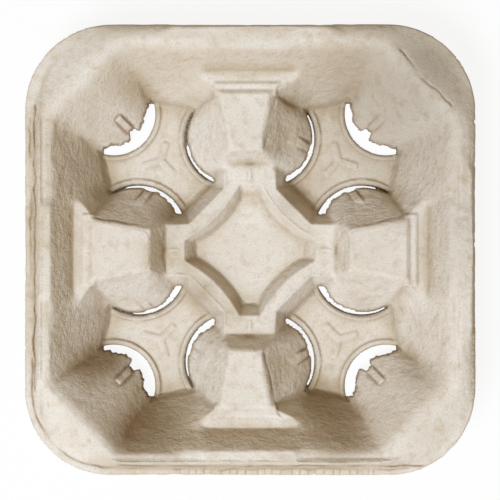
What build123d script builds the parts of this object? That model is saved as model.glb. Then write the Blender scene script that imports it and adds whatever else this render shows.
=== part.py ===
"""Four-cup carrier tray, moulded in one piece from wet paper fibre.

A thin shell with the same form on both sides. Four cup wells stand round a shallow centre dish.
Between each two wells a saddle joins the rim to the ring round the dish. Beside the floor of
each well three curved slots free the foot of a springy flap, which grips the cup.

The origin is the middle of the tray on the table. X and Y run along its sides and Z points up.
"""
import math
import os

from build123d import *

# Overall sizes in millimetres
side = 216.0
height = 44.0
wall = 1.8
corner_radius = 41.0

# Levels of the upper surface above the table
flange_level = 35.0
shoulder_level = 30.7
ledge_level = 28.6
ring_level = 18.5
dish_level = 10.0

# Rim: half widths across the flats, and the straight crest line across each corner
crest_inner = 95.5
crest_outer = 102.7
skirt_foot = 104.6
corner_chord = 162.0
ridge_width = 1.8

# Cup wells: middle of a well, its corner flap's foot and the ends of its two outer arms
well_centre = 44.0
corner_foot_centre = 67.3
corner_foot_radius = 20.4
corner_foot_half_angle = 60.0
arm_heel = (28.2, 68.4)
crest_heel = 28.6

# Saddles: foot arc of a side flap, and the outline of the shoulder above it
side_foot_centre = (8.2, 55.25)
side_foot_radius = 24.1
side_foot_angles = (-66.0, 32.5)
shoulder_inner = (9.6, 48.2)
shoulder_outer = (14.8, 76.6)
ledge_corner = (29.4, 86.6)

# Raised panel and bar on a saddle
panel_rise = 0.8
panel_inner = (8.8, 49.0)
panel_outer = (14.0, 75.6)
panel_corner_radius = 3.0
bar_half_width = 17.5
bar_outer_edge = 80.2
bar_rise = 1.1

# Ring and dish in the middle
ring_reach = 42.5
ring_foot_reach = 52.7
ring_arm_half_width = 12.5
ring_arm_foot_half_width = 20.2
ring_arm_length = 44.0
dish_tip = (5.0, 32.3)
dish_waist = 16.5
dish_floor_tip = (4.0, 26.8)
dish_floor_waist = 13.4

# Slots at the feet of the flaps, and the raised lip along the floor's edge
side_slot_gap = 2.2
corner_slot_gap = 4.6
slot_height = 14.0
lip_width = 2.7
lip_rise = 0.8

# Stiffening rib up the middle of each flap
rib_width = 3.8
corner_rib_length = 11.5
side_rib_length = 8.5
side_rib_heading = -35.0
rib_rise = 0.9

# Raised three-armed mark in each well and short ticks on the ring
mark_length = 9.5
mark_width = 3.0
mark_rise = 0.5
tick_length = 5.0
tick_width = 1.2

# General steepness of the walls, and how far tools run past the part
draft = 60.0
reach = 6.0

# Flat strips in each of the two cones of a flap
strips_per_cone = 3

# Below this cross product two sides count as one straight line
STRAIGHT = 1e-6

# How far each outline draws in from the upper surface to the lower one
setback = wall * math.tan(math.radians(draft / 2))


def turned(point, quarter):
    """Turn a point about the middle of the tray by whole quarters."""
    x, y = point[:2]
    for _ in range(quarter):
        x, y = -y, x
    return (x, y)


def on_circle(centre, radius, angle):
    """Point on a circle at an angle in degrees."""
    turn = math.radians(angle)
    return (centre[0] + radius * math.cos(turn), centre[1] + radius * math.sin(turn))


def mirrored(point):
    """The point on the other side of a saddle."""
    return (-point[0], point[1])


def outline(stations):
    """Flat face inside a plan. A station written as a list is passed through by an arc."""
    edges = []
    for start, through, end in sides_of(stations):
        if through is None:
            edges.append(Edge.make_line(start, end))
        else:
            edges.append(Edge.make_three_point_arc(start, through, end))
    return Face(Wire(edges))


def sides_of(stations):
    """Each side of a plan as its start, the point that an arc passes through, and its end."""
    sides = []
    start = stations[0]
    through = None
    for station in stations[1:] + stations[:1]:
        if isinstance(station, list):
            through = tuple(station)
        else:
            sides.append((start, through, station))
            start = station
            through = None
    return sides


def four_fold(stations):
    """The stations of one corner repeated round the tray."""
    everything = []
    for quarter in range(4):
        for station in stations:
            place = turned(station, quarter)
            everything.append(list(place) if isinstance(station, list) else place)
    return everything


def circle_of(start, through, end):
    """Centre and radius of the circle through three points."""
    edge = Edge.make_three_point_arc(start, through, end)
    centre = edge.arc_center
    return (centre.X, centre.Y), edge.radius


def moved_side(start, through, end, amount):
    """A side moved outwards: a line as point and direction, an arc as centre and radius."""
    length = math.dist(start, end)
    along = ((end[0] - start[0]) / length, (end[1] - start[1]) / length)
    outward = (along[1], -along[0])
    if through is None:
        return "line", (start[0] + outward[0] * amount, start[1] + outward[1] * amount), along
    centre, radius = circle_of(start, through, end)
    bulge = (through[0] - start[0]) * outward[0] + (through[1] - start[1]) * outward[1]
    return "arc", centre, radius + math.copysign(amount, bulge * amount)


def meeting(first, second, near):
    """Where two moved sides meet, close to the corner they came from."""
    if first[0] == "arc":
        first, second = second, first
    point, along = first[1:]
    if second[0] == "line":
        other, heading = second[1:]
        cross = along[0] * heading[1] - along[1] * heading[0]
        if abs(cross) < STRAIGHT:
            step = (near[0] - point[0]) * along[0] + (near[1] - point[1]) * along[1]
        else:
            step = ((other[0] - point[0]) * heading[1] - (other[1] - point[1]) * heading[0]) / cross
        return (point[0] + along[0] * step, point[1] + along[1] * step)
    centre, radius = second[1:]
    step = (centre[0] - point[0]) * along[0] + (centre[1] - point[1]) * along[1]
    foot = (point[0] + along[0] * step, point[1] + along[1] * step)
    half = math.sqrt(max(radius**2 - math.dist(foot, centre) ** 2, 0))
    ends = [(foot[0] + along[0] * part, foot[1] + along[1] * part) for part in (half, -half)]
    return min(ends, key=lambda end: math.dist(end, near))


def grown(stations, amount):
    """The same plan moved outwards, or inwards where the amount is negative."""
    if amount == 0:
        return stations
    sides = sides_of(stations)
    moved = [moved_side(*one, amount) for one in sides]
    result = []
    for number, (start, through, _) in enumerate(sides):
        result.append(meeting(moved[number - 1], moved[number], start))
        if through is not None:
            centre, radius = moved[number][1:]
            share = radius / math.dist(centre, through)
            result.append([c + (t - c) * share for c, t in zip(centre, through)])
    return result


def between(lower, low, upper, high, growth):
    """Straight-sided solid between two plans at two levels."""
    sections = [
        Pos(0, 0, low) * outline(grown(lower, growth)),
        Pos(0, 0, high) * outline(grown(upper, growth)),
    ]
    return loft(sections, ruled=True)


def straight(stations):
    """The plan with its arcs made straight."""
    return [station for station in stations if not isinstance(station, list)]


def flapped(lower, low, upper, high, growth):
    """Solid between two plans, where each arc of the foot rises to a straight edge as a flap."""
    foot = grown(lower, growth)
    top = grown(upper, growth)
    sections = [Pos(0, 0, low) * outline(straight(foot)), Pos(0, 0, high) * outline(top)]
    body = loft(sections, ruled=True)
    for number, (start, through, end) in enumerate(sides_of(foot)):
        if through is None:
            continue
        part = flap(start, through, end, low, top[number], top[(number + 1) % len(top)], high)
        along = (end[0] - start[0], end[1] - start[1])
        bulge = (through[0] - start[0]) * along[1] - (through[1] - start[1]) * along[0]
        body = body + part if bulge > 0 else body - part
    return body


def flap(start, through, end, low, left, right, high):
    """A flap's body: two fans of strips from the foot arc, and a flat triangle between them."""
    centre, radius = circle_of(start, through, end)
    angles = [angle_about(centre, point, through) for point in (start, end)]
    facing = angle_about(centre, facing_point(centre, through, left, right), through)
    fans = []
    for first, last, apex in ((angles[0], facing, left), (facing, angles[1], right)):
        steps = [first + (last - first) * step / strips_per_cone for step in range(strips_per_cone + 1)]
        corners = [(*centre, low)] + [(*on_circle(centre, radius, angle), low) for angle in steps]
        fans.append(loft([Face(Wire.make_polygon(corners)), Vertex(*apex, high)], ruled=True))
    front = on_circle(centre, radius, facing)
    triangle = Face(Wire.make_polygon([(*centre, low), (*front, low), (*left, high)]))
    return fans[0] + fans[1] + loft([triangle, Vertex(*right, high)], ruled=True)


def angle_about(centre, point, near):
    """Direction of a point from a centre in degrees, within half a turn of another point's."""
    first, second = [math.atan2(place[1] - centre[1], place[0] - centre[0]) for place in (near, point)]
    return math.degrees(first + math.remainder(second - first, math.tau))


def facing_point(centre, through, left, right):
    """A point straight out from the centre, square to the edge from left to right."""
    square = (right[1] - left[1], left[0] - right[0])
    side_on = (through[0] - centre[0]) * square[0] + (through[1] - centre[1]) * square[1]
    sign = math.copysign(1, side_on)
    return (centre[0] + sign * square[0], centre[1] + sign * square[1])


def column(stations, low, high, growth=0.0):
    """Upright solid over a plan."""
    return upright(outline(grown(stations, growth)), low, high)


def upright(face, low, high):
    """Upright solid over a flat face."""
    return extrude(Pos(0, 0, low) * face, high - low, dir=(0, 0, 1))


def all_round(solids):
    """Four copies of each solid round the tray."""
    return [Rot(0, 0, 90 * quarter) * solid for solid in solids for quarter in range(4)]


def rounded_square(half_width):
    """Square outline whose corner arcs share the centres of the tray's own corners."""
    bend = side / 2 - corner_radius
    radius = half_width - bend
    middle = bend + radius / math.sqrt(2)
    return four_fold([(half_width, bend), [middle, middle], (bend, half_width)])


def crest_outline():
    """Outer edge of the crest, cut straight across the corners."""
    chord = corner_chord + ridge_width / math.sqrt(2)
    return four_fold([(crest_outer, chord - crest_outer), (chord - crest_outer, crest_outer)])


def well_mouth():
    """Inner edge of the crest."""
    chord = corner_chord - ridge_width / math.sqrt(2)
    near = chord - crest_inner
    return four_fold(
        [(crest_inner, crest_heel), (crest_inner, near), (near, crest_inner), (crest_heel, crest_inner)]
    )


def well_foot():
    """Outline of the well floors, with a flap's foot arc in each corner."""
    centre = (corner_foot_centre, corner_foot_centre)
    start, middle, end = [
        on_circle(centre, corner_foot_radius, 225 + turn)
        for turn in (corner_foot_half_angle, 0, -corner_foot_half_angle)
    ]
    heel = (arm_heel[1], arm_heel[0])
    return four_fold([heel, start, list(middle), end, arm_heel])


def crown(drop):
    """Everything under the outer faces of the rim."""
    base = side / 2 + (reach if drop else 0)
    flange = column(rounded_square(base), -reach if drop else 0, flange_level - drop)
    skirt = between(
        rounded_square(skirt_foot), flange_level - drop, crest_outline(), height - drop, -shrink(drop)
    )
    return flange + skirt


def shrink(drop):
    """How far outlines draw in on the lower side."""
    return setback if drop else 0.0


def along_ledge():
    """Direction of the edge from the shoulder out to the corner of the ledge."""
    run = Vector(*ledge_corner) - Vector(*shoulder_outer)
    return run.normalized()


def saddle_outlines():
    """Foot and shoulder of the saddle on the +Y side."""
    far = along_ledge() * (side / 2 - shoulder_outer[1])
    start, end = side_foot_angles
    inner = on_circle(side_foot_centre, side_foot_radius, start)
    bulge = on_circle(side_foot_centre, side_foot_radius, (start + end) / 2)
    heel = on_circle(side_foot_centre, side_foot_radius, end)
    tail = (heel[0] + far.X, heel[1] + far.Y)
    foot = [inner, list(bulge), heel, tail, mirrored(tail), mirrored(heel), list(mirrored(bulge))]
    foot.append(mirrored(inner))
    top_tail = (shoulder_outer[0] + far.X, shoulder_outer[1] + far.Y)
    right = [shoulder_inner, shoulder_outer, top_tail]
    top = right + [mirrored(point) for point in reversed(right)]
    return foot, top


def profile_along_x(points, half_width):
    """Solid of one profile in the YZ plane, run across the saddle."""
    face = Face(Wire.make_polygon([(-half_width, y, z) for y, z in points]))
    return extrude(face, 2 * half_width, dir=(1, 0, 0))


def panel(drop):
    """Raised panel on the saddle, with its inner corners rounded."""
    right = [panel_inner, panel_outer]
    plan = outline(grown(right + [mirrored(point) for point in reversed(right)], -shrink(drop)))
    corners = plan.vertices().group_by(Axis.Y)[0]
    plan = plan.fillet_2d(panel_corner_radius, corners)
    return upright(plan, ledge_level - drop - wall, shoulder_level + panel_rise - drop)


def saddle(drop, depth):
    """One saddle: flaps, shoulder, ledge, bar and panel, on the +Y side."""
    foot, top = saddle_outlines()
    foot_level = wall - drop
    body = flapped(foot, foot_level, top, shoulder_level - drop, -shrink(drop))
    body += column(foot, foot_level - depth - 1, foot_level, -shrink(drop))
    ledge = ledge_level - drop
    step = shoulder_level - ledge_level
    edge = shoulder_outer[1] - shrink(drop)
    over = height + reach
    body -= profile_along_x(
        [(edge, ledge + step), (edge + step / 2, ledge), (side, ledge), (side, over), (edge, over)], side
    )
    bar_edge = bar_outer_edge - shrink(drop)
    low = ledge - wall
    body += profile_along_x(
        [
            (edge - wall, low),
            (bar_edge + bar_rise, low),
            (bar_edge + bar_rise, ledge),
            (bar_edge, ledge + bar_rise),
            (edge - wall, ledge + bar_rise),
        ],
        bar_half_width - shrink(drop),
    )
    return body + panel(drop)


def square_on_point(reach_out):
    """Square turned by half a quarter."""
    return four_fold([(reach_out, 0)])


def oblong(half_width, half_length):
    """Plan of a rectangle about the middle."""
    return [
        (half_width, -half_length),
        (half_width, half_length),
        (-half_width, half_length),
        (-half_width, -half_length),
    ]


def island(drop, depth):
    """The ring's body: a square on its point with an arm under each saddle."""
    foot_level = wall - drop
    top_level = ring_level - drop
    body = between(
        square_on_point(ring_foot_reach), foot_level, square_on_point(ring_reach), top_level, -shrink(drop)
    )
    body += column(square_on_point(ring_foot_reach), foot_level - depth - 1, foot_level, -shrink(drop))
    for turn in (0, 90):
        foot = oblong(ring_arm_foot_half_width, ring_arm_length)
        top = oblong(ring_arm_half_width, ring_arm_length)
        arm = between(foot, foot_level, top, top_level, -shrink(drop))
        arm += column(foot, foot_level - depth - 1, foot_level, -shrink(drop))
        body += Rot(0, 0, turn) * arm
    return body


def star(tip, waist):
    """Four-pointed outline with cut tips and hollow sides."""
    return four_fold([(tip[1], -tip[0]), (tip[1], tip[0]), [waist, waist]])


def dish(drop):
    """The hollow in the middle."""
    rim = star(dish_tip, dish_waist)
    floor = star(dish_floor_tip, dish_floor_waist)
    body = between(floor, dish_level - drop, rim, ring_level - drop, shrink(drop))
    return body + column(rim, ring_level - drop, height + reach, shrink(drop))


def sector(centre, inner, outer, angles, low, high):
    """Upright part of a ring between two angles."""
    start, end = angles
    middle = (start + end) / 2
    plan = outline(
        [
            on_circle(centre, outer, start),
            list(on_circle(centre, outer, middle)),
            on_circle(centre, outer, end),
            on_circle(centre, inner, end),
            list(on_circle(centre, inner, middle)),
            on_circle(centre, inner, start),
        ]
    )
    return upright(plan, low, high)


def slot_places():
    """Centre, radius, gap and angles of the three slots of the well in the +X +Y corner."""
    centre = (corner_foot_centre, corner_foot_centre)
    half = corner_foot_half_angle
    start, end = side_foot_angles
    across = (side_foot_centre[1], side_foot_centre[0])
    return [
        (centre, corner_foot_radius, corner_slot_gap, (225 - half, 225 + half)),
        (side_foot_centre, side_foot_radius, side_slot_gap, (start, end)),
        (across, side_foot_radius, side_slot_gap, (90 - end, 90 - start)),
    ]


def lips(drop, depth):
    """Raised strips on the floor beside the three slots of one well."""
    low = wall - drop - depth - 1
    high = wall + lip_rise - drop
    strips = []
    for centre, radius, gap, angles in slot_places():
        outer = radius + lip_width - shrink(drop)
        strips.append(sector(centre, radius - gap - 1, outer, angles, low, high))
    return strips


def hollow(drop, depth):
    """The open space over the upper surface, or over the lower one where drop is the wall."""
    foot_level = wall - drop
    space = flapped(well_foot(), foot_level, well_mouth(), height - drop, shrink(drop))
    space += column(well_mouth(), height - drop, height + reach, shrink(drop))
    if depth:
        space += column(well_foot(), foot_level - depth, foot_level, shrink(drop))
    space -= all_round([saddle(drop, depth)] + lips(drop, depth)) + [island(drop, depth)]
    space += dish(drop)
    lifted = Pos(0, 0, rib_rise) * space
    return space - all_round([column(plan, foot_level, height) - lifted for plan in rib_plans()])


def rib_plans():
    """Outlines of the ribs on the three flaps of the well in the +X +Y corner."""
    side_middle = sum(side_foot_angles) / 2
    across = (side_foot_centre[1], side_foot_centre[0])
    corner_centre = (corner_foot_centre, corner_foot_centre)
    corner_start = on_circle(corner_centre, corner_foot_radius, 225)
    side_start = on_circle(side_foot_centre, side_foot_radius, side_middle)
    across_start = on_circle(across, side_foot_radius, 90 - side_middle)
    return [
        strip_plan(corner_start, 45, corner_slot_gap + corner_rib_length),
        strip_plan(side_start, side_rib_heading + 180, side_slot_gap + side_rib_length),
        strip_plan(across_start, 270 - side_rib_heading, side_slot_gap + side_rib_length),
    ]


def strip_plan(start, heading, length):
    """Long rectangle that runs from a start point in one direction."""
    half = rib_width / 2
    left, right = on_circle(start, half, heading + 90), on_circle(start, half, heading - 90)
    return [right, on_circle(right, length, heading), on_circle(left, length, heading), left]


def slots():
    """The cuts through the shell at the feet of the flaps of one well."""
    return [
        sector(centre, radius - gap, radius, angles, -reach, wall + slot_height)
        for centre, radius, gap, angles in slot_places()
    ]


def mark():
    """Raised mark with three arms, one to each arm of the well's floor."""
    body = None
    for angle in (105, 225, 345):
        arm = Box(mark_length, mark_width, wall / 2 + mark_rise, align=(Align.MIN, Align.CENTER, Align.MIN))
        arm = Pos(well_centre, well_centre, wall / 2) * Rot(0, 0, angle) * arm
        body = arm if body is None else body + arm
    return body


def tick():
    """Short raised tick on the ring, on the +Y side."""
    place = (ring_arm_length + dish_tip[1]) / 2 - tick_width
    body = Box(tick_width, tick_length, wall / 2 + mark_rise, align=(Align.CENTER, Align.CENTER, Align.MIN))
    return Pos(0, place, ring_level - wall / 2) * body


def tray():
    """The whole shell: upper form less lower form, then slots and raised marks."""
    upper = crown(0) - hollow(0, 0)
    lower = crown(wall) - hollow(wall, reach)
    shell = upper - lower - all_round(slots())
    return shell + all_round([mark(), tick()])


os.makedirs("parts", exist_ok=True)
carrier = tray()
export_step(carrier, "parts/moulded_tray.step")
print("volume in cubic mm", round(carrier.volume), "solids", len(carrier.solids()))
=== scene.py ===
# %% [markdown]
# # A moulded-fibre carrier for four cups
#
# The real tray is made in one go. A wire screen in the shape of the tray is dipped into a bath of
# wet paper fibre, suction pulls a layer of fibre on to it, and the layer dries into a stiff skin.
# So there is one piece, with one thickness, soft edges everywhere and no joints at all.
#
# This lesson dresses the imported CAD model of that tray. It keeps the places and sizes of the CAD
# and adds what a plain solid cannot show: rounded folds, torn slot edges, an uneven rim and a
# felted surface.

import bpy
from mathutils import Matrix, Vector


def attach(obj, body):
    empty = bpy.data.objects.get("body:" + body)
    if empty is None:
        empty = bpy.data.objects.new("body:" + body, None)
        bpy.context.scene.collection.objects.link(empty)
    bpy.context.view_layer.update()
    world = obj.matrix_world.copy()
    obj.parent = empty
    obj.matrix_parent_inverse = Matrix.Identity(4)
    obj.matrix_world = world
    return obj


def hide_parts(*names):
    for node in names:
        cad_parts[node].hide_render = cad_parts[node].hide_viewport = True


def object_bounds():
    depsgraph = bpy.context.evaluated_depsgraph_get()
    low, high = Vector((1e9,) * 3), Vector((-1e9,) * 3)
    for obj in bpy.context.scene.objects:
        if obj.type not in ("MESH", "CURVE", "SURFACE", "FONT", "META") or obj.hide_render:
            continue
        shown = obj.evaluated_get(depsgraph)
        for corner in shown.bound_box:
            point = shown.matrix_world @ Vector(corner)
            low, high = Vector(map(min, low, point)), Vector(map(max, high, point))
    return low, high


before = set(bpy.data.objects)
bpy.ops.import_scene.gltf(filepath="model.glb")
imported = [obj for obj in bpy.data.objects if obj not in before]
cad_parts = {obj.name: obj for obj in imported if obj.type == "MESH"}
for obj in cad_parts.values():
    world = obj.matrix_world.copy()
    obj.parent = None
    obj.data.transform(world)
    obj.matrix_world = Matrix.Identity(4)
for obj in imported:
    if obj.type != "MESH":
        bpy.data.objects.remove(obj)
cad_box = [list(corner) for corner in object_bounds()]
print("CAD box in metres", cad_box)

# %% [markdown]
# ## Pictures of heights
#
# A sheet of fibre has one height wherever it is touched from above, and one more from below. Two
# pictures of those heights describe the whole tray, and pictures are easy to soften like clay. The
# helpers below blur a picture, fill its open places, fade between two values and make soft random
# unevenness that is the same on every run.

# %% Helpers for pictures of heights
import math

import bmesh
import bpy
import numpy as np
from mathutils import Vector
from mathutils.bvhtree import BVHTree

MM = 0.001
half_side = cad_box[1][0]
top_level = cad_box[1][2]
step = 0.4 * MM
places = int(round(2 * half_side / step)) + 1
axis = np.linspace(-half_side, half_side, places)
grid_x, grid_y = np.meshgrid(axis, axis)


def blur(picture, wide, tall=None):
    """Gaussian blur with its two spreads in metres."""
    result = picture
    for spread in (wide, tall or wide):
        cells = spread / step
        reach = int(3 * cells) + 1
        weights = np.exp(-0.5 * (np.arange(-reach, reach + 1) / cells) ** 2)
        padded = np.pad(result, ((0, 0), (reach, reach)), mode="edge")
        total = np.zeros_like(result)
        for shift, weight in enumerate(weights / weights.sum()):
            total += weight * padded[:, shift : shift + result.shape[1]]
        result = total.T
    return result


def filled(picture):
    """The picture with its open places filled from what lies round them."""
    known = ~np.isnan(picture)
    result = np.where(known, picture, 0)
    for spread in (1 * MM, 3 * MM, 12 * MM):
        share = blur(known.astype(float), spread)
        guess = blur(np.where(known, result, 0), spread) / np.maximum(share, 1e-9)
        usable = ~known & (share > 0.02)
        result = np.where(usable, guess, result)
        known = known | usable
    return result


def ramp(values, start, end):
    """Smooth step from 0 at start to 1 at end."""
    part = np.clip((values - start) / (end - start), 0, 1)
    return part * part * (3 - 2 * part)


def clouds(spread, seed, tall=None):
    """Soft random unevenness with a spread of 1, the same on every run."""
    noise = np.random.default_rng(seed).standard_normal(grid_x.shape)
    soft = blur(noise, spread, tall)
    return soft / soft.std()


def picked(picture, x, y):
    """Value of a picture at any place, between its nearest four points."""
    column = np.clip((x + half_side) / step, 0, places - 1.001)
    row = np.clip((y + half_side) / step, 0, places - 1.001)
    left, below = column.astype(int), row.astype(int)
    across, up = column - left, row - below
    low_row = picture[below, left] * (1 - across) + picture[below, left + 1] * across
    high_row = picture[below + 1, left] * (1 - across) + picture[below + 1, left + 1] * across
    return low_row * (1 - up) + high_row * up


print("picture of", places, "by", places, "places")

# %% [markdown]
# ## Find where each place is felt
#
# The CAD has the same rim on all four sides. The real rim has dried unevenly: its crest stands
# further out on two sides and further in on the others, the well walls under it lie a little
# further out beside the saddles, and the two upright saddles are narrower on their right. So
# each place will ask the CAD for the height of a place a little further in or out.

# %% Places to feel
just_inside = half_side * (1 - 1e-5)
saddle_loss = 4.5 * MM
# Millimetres from the middle: just inside the crest, its outer edge, its foot and the outline.
cad_rim = (0, 94, 102.7, 104.6, 108)
worn_rim = {
    "left": (0, 94, 100.0, 103.6, 108),
    "right": (0, 94, 106.2, 107.3, 110.6),
    "bottom": (0, 94, 102.0, 103.9, 108),
    "top": (0, 94, 106.9, 108.0, 111.2),
}
# Millimetres outwards: the ledge over a saddle, the wall behind it and the wall beside it.
wall_shifts = {
    "left": (0.3, 0, 0.6),
    "right": (0.3, 0, 0.3),
    "bottom": (0.8, 0.5, 2.2),
    "top": (0.8, 0.5, 1.2),
}


def rim_source(along, beside, low_side, high_side):
    """Where to feel the CAD, so that its rim comes out where the worn one is."""
    reach, off_middle = np.abs(along) / MM, np.abs(beside) / MM
    on_ledge = ramp(reach, 80.5, 85) * ramp(reach, 94, 87) * ramp(off_middle, 36, 30)
    beside_saddle = ramp(off_middle, 28, 38) * ramp(off_middle, 76, 62)
    on_wall = ramp(reach, 80, 95)
    found = []
    for side in (low_side, high_side):
        ledge_shift, middle_shift, side_shift = wall_shifts[side]
        crest_end = worn_rim[side][2]
        wall = (middle_shift + (side_shift - middle_shift) * beside_saddle) * on_wall
        pushed = reach - (ledge_shift * on_ledge + wall) * ramp(reach, crest_end, crest_end - 1.8)
        found.append(np.interp(pushed, worn_rim[side], cad_rim) * MM)
    return np.sign(along) * np.minimum(np.where(along < 0, *found), just_inside)


def narrowed(across, along):
    """Where to feel the CAD beside the upright saddles, to make them narrower."""
    swell = ramp(across, 1 * MM, 7 * MM) * ramp(across, 28 * MM, 13 * MM)
    loss = saddle_loss * swell * ramp(along, 36 * MM, 51 * MM) * ramp(along, 84 * MM, 78 * MM)
    return across + loss


source_x = narrowed(rim_source(grid_x, grid_y, "left", "right"), np.abs(grid_y)).ravel()
source_y = rim_source(grid_y, grid_x, "bottom", "top").ravel()
print("furthest move in mm", round(float(np.abs(source_x - grid_x.ravel()).max()) / MM, 1))

# %% [markdown]
# ## Feel the CAD solid from both sides
#
# A ray from above and a ray from below give the two heights of each place. They are cast at a
# copy of the CAD mesh with its coinciding points merged, so that none slips through a seam, and
# the mesh itself stays untouched. Where a ray meets nothing, the place is open.

# %% Read the heights
merge_distance = 0.01 * MM
solid = bmesh.new()
solid.from_mesh(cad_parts["moulded_tray"].data)
bmesh.ops.remove_doubles(solid, verts=solid.verts, dist=merge_distance)
tree = BVHTree.FromBMesh(solid)


def feel(start, direction):
    """Heights of the first surface met from a start level, or nan where nothing is met."""
    heights = np.full(grid_x.size, np.nan)
    for index, (x, y) in enumerate(zip(source_x, source_y)):
        hit = tree.ray_cast((x, y, start), (0, 0, direction))[0]
        if hit is not None:
            heights[index] = hit.z
    return heights.reshape(grid_x.shape)


upper = feel(2 * top_level, -1)
lower = feel(-top_level, 1)
solid.free()
print("places felt", upper.size, "open places", int(np.isnan(upper).sum()))

# %% [markdown]
# ## Three slots in each well
#
# Three slots are punched round the floor of each well, at the feet of its flaps: one across the
# corner and one beside each neighbouring saddle. A slot is an arc, given by its centre, its
# radius and the turns in degrees where it starts and ends. A small rib ends at it, given by the
# turn of its foot and by its heading. Lists have one value or row for each well, in the order
# upper left, upper right, lower left, lower right. A row of gaps is the width of the slot at its
# start, middle and end, because no two slots of the real tray gape alike.

# %% The slots
corner_slot = {
    "centre": (67.3 * MM, 67.3 * MM),
    "radius": 20.4 * MM,
    "turn": (165, 285),
    "rib": (225, 45),
    "notch": 3.0 * MM,
    "taper": 5 * MM,
    "rib_length": 11 * MM,
    "rib_shown": np.array([1.0, 0.5, 1.0, 0.8]),
    # How dark the painted shadow along the torn flap edge is, for each well.
    "shade": np.array([0.35, 0.15, 0.8, 0.45]),
    "swapped": False,
    "gaps": np.array([[4.6, 4.4, 4.4], [3.4, 4.6, 4.4], [5.6, 4.6, 3.6], [5.0, 4.5, 5.0]]) * MM,
}
side_slot = {
    "centre": (8.2 * MM, 55.25 * MM),
    "radius": 24.1 * MM,
    "turn": (-66, 32.5),
    "rib": (-16.75, 145),
    "notch": 0.6 * MM,
    "taper": 2 * MM,
    "rib_length": 5.5 * MM,
    "rib_shown": np.array([0.15, 1.0, 0.4, 1.0]),
    # How dark the painted shadow along the torn flap edge is, for each well.
    "shade": np.array([0.5, 0.4, 0.3, 0.4]),
    "swapped": False,
    "gaps": np.array([[2.1, 1.1, 0.9], [2.9, 1.7, 1.3], [3.5, 1.7, 0.9], [2.9, 2.2, 1.4]]) * MM,
}
swapped_gaps = np.array([[2.6, 1.9, 0.8], [2.7, 2.1, 0.9], [3.2, 1.5, 0.8], [2.6, 1.7, 1.3]]) * MM
swapped_ribs = np.array([0.9, 0.9, 0.5, 0.15])
slots = [
    corner_slot,
    side_slot,
    dict(side_slot, swapped=True, gaps=swapped_gaps, rib_shown=swapped_ribs),
]
widest_gap = max(float(slot["gaps"].max()) for slot in slots)
print("kinds of slots", len(slots), "widest in mm", round(widest_gap / MM, 1))

# %% [markdown]
# ## Where the fibre is torn
#
# The floor side of a slot is cut clean, and the side of the flap is torn, most of all at the
# small rib. A cut is written as a distance: positive where fibre is taken away and zero on its
# edge. A grid can be trimmed to that, and the same distance later shows the material where the
# torn fibres are.

# %% Distances to a slot
fray = (clouds(0.55 * MM, 11) * 0.24 + clouds(1.7 * MM, 12) * 0.28) * MM


def well_of(x, y):
    """Number of the well: upper left, upper right, lower left, lower right."""
    return (x > 0) + 2 * (y < 0)


def slot_distances(x, y, slot):
    """How far places are past a slot's floor edge, past its flap edge and from its ends."""
    fold_x, fold_y = np.abs(x), np.abs(y)
    if slot["swapped"]:
        fold_x, fold_y = fold_y, fold_x
    well = well_of(x, y)
    from_x, from_y = fold_x - slot["centre"][0], fold_y - slot["centre"][1]
    away = np.hypot(from_x, from_y)
    start, end = slot["turn"]
    middle = (start + end) / 2
    off = (np.degrees(np.arctan2(from_y, from_x)) - middle + 180) % 360 - 180
    share = np.clip(off / (end - start) + 0.5, 0, 1)
    ends = np.radians((end - start) / 2 - np.abs(off)) * slot["radius"]
    first, second, third = (slot["gaps"][well, stop] for stop in range(3))
    early = first + (second - first) * 2 * share
    late = second + (third - second) * (2 * share - 1)
    gap = np.where(share < 0.5, early, late) * (0.55 + 0.45 * ramp(ends, 0, slot["taper"]))
    foot, heading = np.radians(slot["rib"])
    foot_x, foot_y = slot["radius"] * math.cos(foot), slot["radius"] * math.sin(foot)
    from_rib = np.abs((from_x - foot_x) * math.sin(heading) - (from_y - foot_y) * math.cos(heading))
    torn = picked(fray, x, y) * (0.12 + 0.88 * ramp(gap, 1.2 * MM, 3 * MM))
    gap = gap + slot["notch"] * ramp(from_rib, 3.3 * MM, 1.3 * MM) + torn
    return slot["radius"] - away, away - slot["radius"] + gap, ends, from_rib


floor_side, flap_side, ends, _ = slot_distances(grid_x, grid_y, corner_slot)
corner_share = float(((floor_side > 0) & (flap_side > 0) & (ends > 0)).mean())
print("corner slots, per cent of the plan", round(100 * corner_share, 1))

# %% [markdown]
# ## The outline and the whole cut
#
# The tray ends in a rounded square. Its edge is nibbled a little all round, and handling has left
# some nicks in it, each given by its place, reach and depth in millimetres. What lies outside
# that outline or inside a slot is cut away.

# %% Distances to the outline and to every cut
corner_radius = 41 * MM
nicks = [(108, 61.5, 1.1, 0.9), (108, 40.8, 0.8, 0.5), (108, 2.4, 1.0, 0.6), (108, -41, 0.6, 0.4)]
nicks += [(-108, 22, 0.8, 0.3), (-108, -47, 0.9, 0.35), (31, -108, 0.8, 0.4), (-18, 108, 0.8, 0.3)]
nibbled = np.maximum(clouds(1.5 * MM, 13), 0) * 0.07 * MM
for nick_x, nick_y, reach, depth in nicks:
    away = np.hypot(grid_x - nick_x * MM, grid_y - nick_y * MM) / (reach * MM)
    nibbled = nibbled + depth * MM * np.exp(-away * away)


def outline_cut(x, y):
    """Distance outside the rounded square with its small nicks."""
    bend = half_side - corner_radius
    beyond_x, beyond_y = np.abs(x) - bend, np.abs(y) - bend
    far = np.hypot(np.maximum(beyond_x, 0), np.maximum(beyond_y, 0))
    plain = far + np.minimum(np.maximum(beyond_x, beyond_y), 0) - corner_radius
    return plain + picked(nibbled, x, y)


def cut(x, y):
    """Distance into whatever is cut away."""
    found = outline_cut(x, y)
    for slot in slots:
        floor_side, flap_side, ends, _ = slot_distances(x, y, slot)
        found = np.maximum(found, np.minimum(np.minimum(floor_side, flap_side), ends))
    return found


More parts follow.
